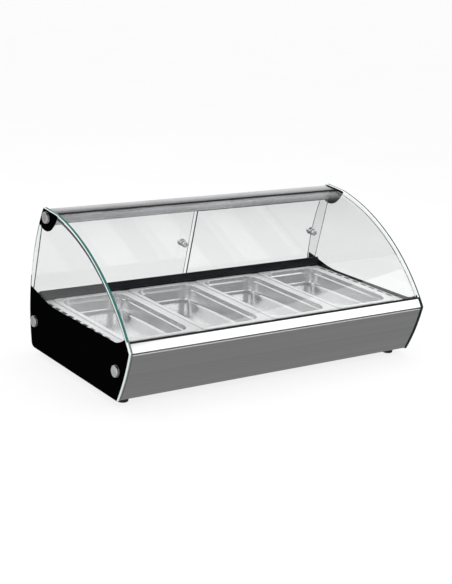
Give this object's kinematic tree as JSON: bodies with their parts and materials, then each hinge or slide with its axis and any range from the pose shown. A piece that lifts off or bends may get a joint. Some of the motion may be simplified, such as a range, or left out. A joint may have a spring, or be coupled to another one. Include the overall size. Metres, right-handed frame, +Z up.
{
  "type": "hot food display case",
  "caption": "Countertop heated display case: curved front glass between shaped glass ends, lift-out steel pans on a heated base, sliding rear doors.",
  "frame": {"origin": "on the counter, under the middle of the case's bounding box", "axes": "+X along the case to the customer's right, +Y to the operator side with the sliding doors, +Z up"},
  "size_m": [0.821, 0.4413, 0.3502],
  "materials": {
    "clear_glass": "clear tempered glass with a pale green edge, black printed border on the side glasses",
    "brushed_steel": "satin stainless sheet",
    "pan_steel": "bright drawn stainless",
    "polished_steel": "polished",
    "panel_steel": "fine brushed along the width",
    "rail_aluminium": "satin anodised",
    "sill_aluminium": "dark anodised",
    "fixing_aluminium": "turned and satin anodised",
    "knob_chrome": "mirror",
    "black_rubber": "matte",
    "black_plastic": "fine texture",
    "amber_lens": "clear amber",
    "terminal_plastic": "moulded",
    "element_sheath": "heat-darkened"
  },
  "bodies": {
    "case": {"cable_gland": "black_plastic", "deck": "brushed_steel", "door_head_guide": "black_plastic", "door_sill_track": "sill_aluminium", "element_saddle_left": "brushed_steel", "element_saddle_right": "brushed_steel", "end_plate_left": "brushed_steel", "end_plate_right": "brushed_steel", "fixing_left_front": "fixing_aluminium", "fixing_left_rear": "fixing_aluminium", "fixing_left_top": "fixing_aluminium", "fixing_nut_left_front": "fixing_aluminium", "fixing_nut_left_rear": "fixing_aluminium", "fixing_nut_right_front": "fixing_aluminium", "fixing_nut_right_rear": "fixing_aluminium", "fixing_right_front": "fixing_aluminium", "fixing_right_rear": "fixing_aluminium", "fixing_right_top": "fixing_aluminium", "floor_tray": "brushed_steel", "foot_front_left": "black_rubber", "foot_front_right": "black_rubber", "foot_rear_left": "black_rubber", "foot_rear_right": "black_rubber", "foot_screw_front_left": "brushed_steel", "foot_screw_front_right": "brushed_steel", "foot_screw_rear_left": "brushed_steel", "foot_screw_rear_right": "brushed_steel", "front_glass": "clear_glass", "front_glass_gasket": "black_rubber", "front_panel": "panel_steel", "front_trim": "polished_steel", "heating_element": "element_sheath", "heating_well": "brushed_steel", "pan_divider_1": "brushed_steel", "pan_divider_2": "brushed_steel", "pan_divider_3": "brushed_steel", "pilot_lamp": "amber_lens", "rear_panel": "brushed_steel", "side_glass_left": "clear_glass", "side_glass_right": "clear_glass", "switch_housing": "black_plastic", "terminal_block": "terminal_plastic", "thermostat_body": "black_plastic", "thermostat_bulb": "brushed_steel", "top_glass_gasket": "black_rubber", "top_rail": "rail_aluminium"},
    "left_door": {"door_left_glass": "clear_glass", "door_left_knob": "knob_chrome", "door_left_knob_cap": "knob_chrome"},
    "right_door": {"door_right_glass": "clear_glass", "door_right_knob": "knob_chrome", "door_right_knob_cap": "knob_chrome"},
    "thermostat_dial": {"thermostat_knob": "black_plastic", "thermostat_spindle": "brushed_steel"},
    "power_rocker": {"switch_rocker": "black_plastic"},
    "lift_pan_1": {"pan_1": "pan_steel"},
    "lift_pan_2": {"pan_2": "pan_steel"},
    "lift_pan_3": {"pan_3": "pan_steel"},
    "lift_pan_4": {"pan_4": "pan_steel"}
  },
  "joints": [
    {"name": "left_door_slide", "type": "slide", "parent": "case", "child": "left_door", "axis": [1, 0, 0], "range_m": [0, 0.34]},
    {"name": "right_door_slide", "type": "slide", "parent": "case", "child": "right_door", "axis": [-1, 0, 0], "range_m": [0, 0.34]},
    {"name": "thermostat_turn", "type": "hinge", "parent": "case", "child": "thermostat_dial", "pos_m": [0.3, 0.20066, 0.076], "axis": [0, -1, 0], "range_deg": [0, 270]},
    {"name": "power_switch_rock", "type": "hinge", "parent": "case", "child": "power_rocker", "pos_m": [0.235, 0.20066, 0.076], "axis": [1, 0, 0], "range_deg": [0, 16]},
    {"name": "pan_1_lift", "type": "slide", "parent": "case", "child": "lift_pan_1", "axis": [0, 0, 1], "range_m": [0, 0.05]},
    {"name": "pan_2_lift", "type": "slide", "parent": "case", "child": "lift_pan_2", "axis": [0, 0, 1], "range_m": [0, 0.05]},
    {"name": "pan_3_lift", "type": "slide", "parent": "case", "child": "lift_pan_3", "axis": [0, 0, 1], "range_m": [0, 0.05]},
    {"name": "pan_4_lift", "type": "slide", "parent": "case", "child": "lift_pan_4", "axis": [0, 0, 1], "range_m": [0, 0.05]}
  ]
}
